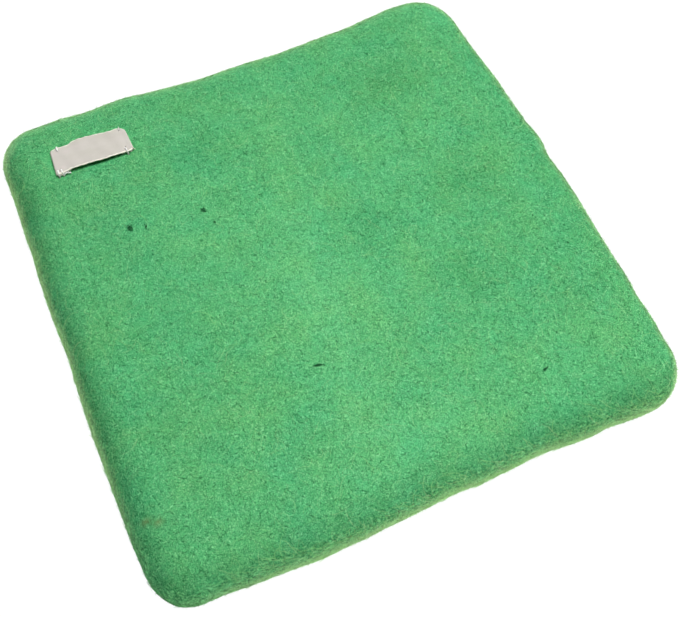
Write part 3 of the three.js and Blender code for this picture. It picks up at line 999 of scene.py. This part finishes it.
# Selvedge: where each long edge's cords lie across the label, start and end, and how they and the frays run
CORDS = ((0.0, 0.4, LABEL_LENGTH - 0.3), (LABEL_WIDTH, 0.5, LABEL_LENGTH - 2.6))
CORD_POINTS = 60
CORD_APART, CORD_RISE, CORD_SWAY, CORD_WAVE, CORD_PHASE = 0.12, 0.1, 0.05, 2.1, 9
CORD_RADII, FRAY_RADIUS = (0.22, 0.22, 0.12, 0.12), 0.13
FRAY_ROOT, FRAY_LENGTHS, FRAY_SPREAD, FRAY_DROP = 0.5, (0.9, 1.5), 0.5, 0.5
FRAYS = (0.5, 0.8, 1.1, 1.5, 1.9, 2.3, 2.7, 6.0, 29.4, 30.1, 30.6)
NEEDLE_HOLES = ((3.3, 10.8), (28.9, 2.2), (2.1, 1.9))


def label_wave(along, across):
    """How much higher than flat the label's top layer lies: lifted long edges and a faint ripple."""
    depth = across / LABEL_WIDTH
    ripple = RIPPLE * np.sin(along * RIPPLE_ALONG + across * RIPPLE_ACROSS)
    return eased(BACK_LIFT, along) * depth ** 2 + eased(FRONT_LIFT, along) * (1 - depth) ** 2 + ripple


def label_place(along, across, height, weight):
    """A point of the label from its place on the ribbon, with hand-sewn lean and wave."""
    ratio, depth = along / LABEL_LENGTH, across / LABEL_WIDTH
    lean = LABEL_LEAN * depth * (1 - ratio) + LABEL_FLARE * (1 - depth) * ratio ** 4
    x = along + LABEL_STRETCH * (ratio - 0.5) + lean
    y = across + depth * eased(BACK_WANDER, along) + (1 - depth) * eased(FRONT_WANDER, along)
    z = height + weight * label_wave(along, across)
    return np.stack(np.broadcast_arrays(x + LABEL_LOW[0], y + LABEL_LOW[1], z + TOP_Z), -1)


def thick_sheet(name, middle, normals, kept, material):
    """A closed cloth from a grid of points and normals, with holes where cells are left out."""
    shape = middle.shape[:2]
    top = np.arange(shape[0] * shape[1]).reshape(shape)
    under = top + top.size
    faces = []
    framed = np.pad(kept, 1)
    for i, j in np.argwhere(kept):
        cell = [(i, j), (i + 1, j), (i + 1, j + 1), (i, j + 1)]
        faces.append([top[c] for c in cell])
        faces.append([under[c] for c in cell[::-1]])
        beside = (framed[i + 1, j], framed[i + 2, j + 1], framed[i + 1, j + 2], framed[i, j + 1])
        for k, neighbour in enumerate(beside):
            if not neighbour:
                start, end = cell[k], cell[(k + 1) % 4]
                faces.append([top[end], top[start], under[start], under[end]])
    points = np.concatenate([middle + normals * CLOTH / 2, middle - normals * CLOTH / 2]).reshape(-1, 3)
    used = np.unique(faces)
    renumber = np.zeros(len(points), int)
    renumber[used] = np.arange(len(used))
    return new_object(name, points[used], renumber[np.array(faces)].tolist(), material)


def label_selvedge(material):
    """Edge cords of the ribbon with a few frayed ends."""
    rng = np.random.default_rng([SEED, FRAY_SEED])
    top = CLOTH * 1.5 + FOLD_GAP
    paths = []
    for across, start, end in CORDS:
        for shift in (-CORD_APART, CORD_APART):
            along = np.linspace(start, end, CORD_POINTS)
            sway = CORD_SWAY * np.sin(along * CORD_WAVE + CORD_PHASE * shift)
            paths.append(label_place(along, across + shift + sway, top + CORD_RISE + sway, 1.0))
    share = np.linspace(0, 1, CORD_POINTS)
    for place in FRAYS:
        along = place + rng.normal(0, FRAY_SPREAD) * share
        across = FRAY_ROOT - rng.uniform(*FRAY_LENGTHS) * share
        fray = label_place(along, across, top + 2 * CORD_RISE, 1.0)
        fray[:, 2] -= FRAY_DROP * share ** 2
        paths.append(fray)
    paths = np.array(paths)
    ups = np.tile([0.0, 0.0, 1.0], (*paths.shape[:2], 1))
    radii = np.array([*CORD_RADII] + [FRAY_RADIUS] * len(FRAYS))[:, None]
    piece = strands("label_selvedge", paths, ups, radii, ROUND, material, smooth=True)
    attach(piece, "root")
    return piece


def label(ribbon, edge_thread):
    """The bare ribbon label with its ends turned under, its needle holes and its selvedge."""
    line = ribbon_line()
    across = np.linspace(0, LABEL_WIDTH, round(LABEL_WIDTH / LABEL_STEP) + 1)
    past = np.maximum(across - (LABEL_WIDTH - CORNER_ROUND), 0)
    cut = CORNER_ROUND - np.sqrt(CORNER_ROUND ** 2 - past ** 2)
    along = line[:, :1] * (1 - cut / LABEL_LENGTH)
    across = np.broadcast_to(across, along.shape)
    height = np.broadcast_to(line[:, 1:], along.shape)
    weight = smooth_step(height, CLOTH / 2, CLOTH * 1.5 + FOLD_GAP)
    middle = label_place(along, across, height, weight)
    normals = unit(np.cross(np.gradient(middle, axis=0), np.gradient(middle, axis=1)))
    centres = (middle[:-1, :-1] + middle[1:, 1:]) / 2
    kept = np.ones(centres.shape[:2], bool)
    holes = [(stitch_feet(*place)[0], HOLE_RADIUS) for place in STITCHES.values()]
    holes += [(LABEL_LOW[:2] + place, NEEDLE_RADIUS) for place in NEEDLE_HOLES]
    for middle_point, radius in holes:
        kept &= np.hypot(*np.moveaxis(centres[..., :2] - middle_point, -1, 0)) > radius
    cloth = thick_sheet("bare_label", middle, normals, kept, ribbon)
    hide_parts("label_ribbon")
    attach(cloth, "root")
    label_selvedge(edge_thread)


# Stitches

PLY_RADIUS = 0.22
PLY_OFFSET = 0.15
THIN_THREAD = 0.4
TWIST_PITCH = 1.3
THREAD_POINTS = 46
CURVE_CELLS = 12
LOOSE_TAIL = ((0.0, 0.0, -0.4), (0.3, 0.1, 0.5), (1.3, 0.35, 0.75), (2.4, 0.1, 0.55), (3.0, -0.2, 0.5))


def rounded_path(corners, count):
    """A smooth path through corner points, evenly spaced, and the lengths gone along it."""
    ends = np.concatenate([[2 * corners[0] - corners[1]], corners, [2 * corners[-1] - corners[-2]]])
    t = np.linspace(0, 1, CURVE_CELLS, endpoint=False)[:, None]
    pieces = []
    for a, b, c, d in zip(ends, ends[1:], ends[2:], ends[3:]):
        square, cube = 2 * a - 5 * b + 4 * c - d, 3 * b - a - 3 * c + d
        pieces.append((2 * b + (c - a) * t + square * t ** 2 + cube * t ** 3) / 2)
    return even_path(np.concatenate(pieces + [corners[-1:]]), count)


def plies(corners, sideways, apart):
    """Two twisted plies of thread along a path, with outward directions."""
    path, gone = rounded_path(np.array(corners), THREAD_POINTS)
    slope = unit(np.gradient(path, axis=0))
    side = unit(sideways - slope * (slope @ sideways)[:, None])
    other = np.cross(slope, side)
    for start in (0.0, math.pi):
        angle = (start + 2 * math.pi * gone / TWIST_PITCH)[:, None]
        away = np.cos(angle) * side + np.sin(angle) * other
        yield path + apart * away, away


def stitch(node, material):
    """A whip stitch up through the label, over its edge and down into the felt."""
    place, edge, slant = STITCHES[node]
    inner, outer = stitch_feet(place, edge, slant)
    top = TOP_Z + 2 * CLOTH + FOLD_GAP + label_wave(place, LABEL_WIDTH if edge > 0 else 0.0)
    corners = [
        (*inner, TOP_Z - 0.6),
        (*inner, top - 0.25),
        (*(inner + (0.0, 0.3 * edge)), top + 0.26),
        (*(inner * 0.5 + outer * 0.5), top + 0.30),
        (*(inner * 0.25 + outer * 0.75), top + 0.05),
        (*(inner * 0.12 + outer * 0.88), TOP_Z + 0.3),
        (*outer, TOP_Z - 1.2),
    ]
    bulk = THIN_THREAD if node == "label_stitch_back_right" else 1.0
    pairs = list(plies(corners, np.array([1.0, 0.0, 0.0]), PLY_OFFSET * bulk))
    if node == "label_stitch_front_left_inner":
        tail = np.array(LOOSE_TAIL) + (*outer, TOP_Z)
        pairs += list(plies(tail, np.array([0.0, 1.0, 0.0]), PLY_OFFSET))
    paths, ups = (np.array(parts) for parts in zip(*pairs))
    radii = np.full((len(paths), 1), PLY_RADIUS * bulk)
    thread = strands(f"{node}_thread", paths, ups, radii, ROUND, material, smooth=True)
    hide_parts(node)
    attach(thread, "root")


# Stage

CAMERA_AZIMUTH, CAMERA_ELEVATION = -113.78, 61.53
CAMERA_DISTANCE, CLIP_START = 383.0, 10.0
CAMERA_AIM = (-2.45, -20.20, 10.0)
FOCAL_PIXELS, FRAME_WIDTH, SENSOR_WIDTH = 1007.0, 679.0, 36.0
WHITE = (1.0, 1.0, 1.0, 1.0)
FLOOR_SIZE = 4000.0
FLOOR_COLOUR = (0.9, 0.9, 0.89, 1.0)
FLOOR_SEEN, FLOOR_GLOW = 0.95, 1.2
DOME = 0.03

# Lights: name, azimuth and elevation in degrees, and power in watts, all of one size and distance in metres
LIGHTS = (("key", 8, 62, 13.2), ("overhead", 0, 90, 3.4), ("back", 90, 35, 2.6))
LIGHT_DISTANCE, LIGHT_SIZE = 1.2, 0.8


def direction(azimuth, elevation):
    """Unit vector with an azimuth from +X towards +Y and an elevation, in degrees."""
    turn, rise = math.radians(azimuth), math.radians(elevation)
    return Vector((math.cos(rise) * math.cos(turn), math.cos(rise) * math.sin(turn), math.sin(rise)))


def add_aimed(name, data, towards, place):
    """A camera or light at a place, aimed against a direction."""
    aimed = bpy.data.objects.new(name, data)
    aimed.location = place
    aimed.rotation_euler = towards.to_track_quat("Z", "Y").to_euler()
    bpy.context.scene.collection.objects.link(aimed)
    return aimed


def add_camera():
    back = direction(CAMERA_AZIMUTH, CAMERA_ELEVATION)
    data = bpy.data.cameras.new("camera")
    data.sensor_width = SENSOR_WIDTH
    data.lens = FOCAL_PIXELS / FRAME_WIDTH * SENSOR_WIDTH
    data.clip_start = CLIP_START * MM
    place = (Vector(CAMERA_AIM) + back * CAMERA_DISTANCE) * MM
    bpy.context.scene.camera = add_aimed("camera", data, back, place)


def add_light(name, azimuth, elevation, power):
    data = bpy.data.lights.new(name, "AREA")
    data.shape = "DISK"
    data.size = LIGHT_SIZE
    data.energy = power
    towards = direction(azimuth, elevation)
    add_aimed(name, data, towards, LIGHT_DISTANCE * towards)


def seen_share(graph):
    """1 where the background is seen, also in a reflection or through a clear surface, and else 0."""
    rays = graph.add("ShaderNodeLightPath").outputs
    seen = rays["Is Camera Ray"]
    for ray in ("Is Glossy Ray", "Is Transmission Ray"):
        seen = graph.maths("MAXIMUM", seen, rays[ray])
    return seen


def add_floor():
    """White floor that keeps a faint shadow."""
    graph = Look("white_floor")
    graph.finish(Base_Color=FLOOR_COLOUR, Roughness=0.9, Specular_IOR_Level=0.0)
    seen = graph.maths("MULTIPLY", seen_share(graph), FLOOR_SEEN)
    lit = graph.add("ShaderNodeEmission", {"Color": WHITE, "Strength": FLOOR_GLOW})
    table = graph.add("ShaderNodeAddShader", {0: graph.shader.outputs[0], 1: lit.outputs[0]})
    plain = graph.add("ShaderNodeEmission", {"Color": WHITE, "Strength": 1.0})
    mixed = graph.add("ShaderNodeMixShader", {0: seen, 1: table.outputs[0], 2: plain.outputs[0]})
    graph.put(graph.output, "Surface", mixed.outputs[0])
    corners = [(FLOOR_SIZE * x, FLOOR_SIZE * y, 0) for x, y in ((-1, -1), (1, -1), (1, 1), (-1, 1))]
    new_object("floor", corners, [(0, 1, 2, 3)], graph.material)


def add_world():
    """White to look at, and only a little light on the mat."""
    bpy.context.scene.world = bpy.data.worlds.new("studio")
    graph = Graph(bpy.context.scene.world)
    background = graph.tree.nodes["Background"]
    graph.put(background, "Color", WHITE)
    graph.put(background, "Strength", graph.maths("MULTIPLY_ADD", seen_share(graph), 1 - DOME, DOME))


def main():
    felt, fibres, raw_wool = felt_material(), fibre_material(), batt_material()
    fuzz = pale_material("edge_fuzz", FUZZ_PALENESS)
    locks = pale_material("edge_locks", LOCK_PALENESS)
    hairs = pale_material("long_hairs", HAIR_PALENESS)
    thread = thread_material("sewing_thread", *WHITE_THREAD)
    edge_thread = thread_material("ribbon_edge", *CREAM_AND_HIGHLIGHT_THREAD)
    skins = []
    for name, facing, node in (("upper_felt", 1, "upper_felt_skin"), ("lower_felt", -1, "lower_felt_skin")):
        skin, outer = felt_half(name, facing, felt)
        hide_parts(node)
        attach(skin, "root")
        skins.append((skin, outer))
    tree = surface_tree(skins)
    long_looks = (
        ("locks", LOCKS, near_edge, LOCK_COMBING, LOCK_RADII, locks),
        ("hairs", HAIRS, everywhere, 0.0, HAIR_RADII, fibres),
        ("pale_hairs", HAIRS // 2, everywhere, 0.0, HAIR_RADII, hairs),
    )
    for (skin, outer), pieces in zip(skins, FIBRE_PIECES):
        loose_fibres(skin, outer, tree, pieces, fibres)
        for ending, *look in long_looks:
            long_fibres(f"{skin.name}_{ending}", skin, outer, tree, *look)
        for index in (1, 2):
            edge_fuzz(f"{skin.name}_fuzz_{index}", skin, outer, fuzz)
    dark_specks(tree, speck_material())
    for index in range(1, BATTS + 1):
        wool_batt(index, raw_wool)
    label(ribbon_material(), edge_thread)
    for node in STITCHES:
        stitch(node, thread)
    add_floor()
    add_world()
    for light in LIGHTS:
        add_light(*light)
    add_camera()
    bpy.context.scene.view_settings.view_transform = "Standard"


main()
